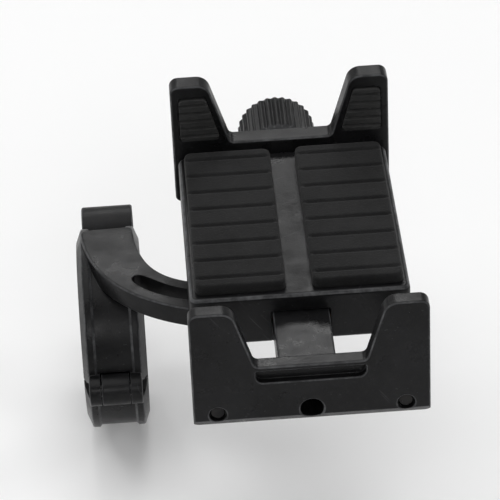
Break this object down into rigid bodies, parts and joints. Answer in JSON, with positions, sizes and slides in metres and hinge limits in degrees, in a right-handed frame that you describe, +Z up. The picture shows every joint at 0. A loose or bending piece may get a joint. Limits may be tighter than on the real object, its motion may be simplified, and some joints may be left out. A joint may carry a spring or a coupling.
{
  "type": "bicycle phone mount",
  "caption": "Four-claw phone tray on a swivel and a curved arm, with a hinged clamp for a round handlebar and a knob that draws the near jaw in.",
  "frame": {"origin": "centre of the handlebar bore, midway along the clamp's width", "axes": "+X along the handlebar towards the tray, +Y away from the rider, +Z up out of the phone seat"},
  "size_m": [0.0674, 0.1069, 0.0783],
  "materials": {
    "black_anodised": "fine bead-blasted, black anodised",
    "rubber": "matte black moulded rubber",
    "foam": "matte black closed-cell foam",
    "steel": "ground bright steel",
    "black_steel": "black oxide on machined steel",
    "nylon": "natural nylon"
  },
  "bodies": {
    "arm": {"arm": "black_anodised", "liner_upper": "rubber", "hinge_pin": "black_steel", "barrel_nut": "black_steel", "friction_ring": "nylon"},
    "lower_clamp": {"clamp_lower": "black_anodised", "liner_lower": "rubber"},
    "clamp_bolt": {"clamp_bolt": "black_steel"},
    "tray": {"base_body": "black_anodised", "seat_pad_left": "foam", "seat_pad_right": "foam", "far_jaw": "black_anodised", "far_screw_left": "black_steel", "far_screw_right": "black_steel", "far_pad_left": "rubber", "far_pad_right": "rubber", "swivel_bolt": "black_steel", "spring_washer": "steel", "thrust_washer": "nylon"},
    "near_jaw": {"near_jaw": "black_anodised", "guide_rod_left": "black_steel", "guide_rod_right": "black_steel", "near_pad_left": "rubber", "near_pad_right": "rubber"},
    "knob": {"knob": "black_anodised", "knob_set_screw": "black_steel", "lead_screw": "steel", "retaining_clip": "black_steel"}
  },
  "joints": [
    {"name": "clamp_hinge", "type": "hinge", "parent": "arm", "child": "lower_clamp", "pos_m": [0, -0.0224, 0], "axis": [-1, 0, 0], "range_deg": [0, 5]},
    {"name": "clamp_bolt_travel", "type": "slide", "parent": "arm", "child": "clamp_bolt", "axis": [0, 0, -1], "range_m": [0, 0.0046]},
    {"name": "tray_swivel", "type": "hinge", "parent": "arm", "child": "tray", "pos_m": [0.038, -0.023, 0.0236], "axis": [0, 0, 1], "continuous": true},
    {"name": "knob_turn", "type": "hinge", "parent": "tray", "child": "knob", "pos_m": [0.038, 0.016, 0.0321], "axis": [0, -1, 0], "range_deg": [-8228.6, 11314.3]},
    {"name": "jaw_slide", "type": "slide", "parent": "tray", "child": "near_jaw", "axis": [0, 1, 0], "range_m": [-0.016, 0.022]}
  ],
  "couplings": [
    {"joint": "clamp_bolt_travel", "follows": "clamp_hinge", "m_per_rad": 0.052},
    {"joint": "knob_turn", "follows": "jaw_slide", "rad_per_m": 8976}
  ]
}
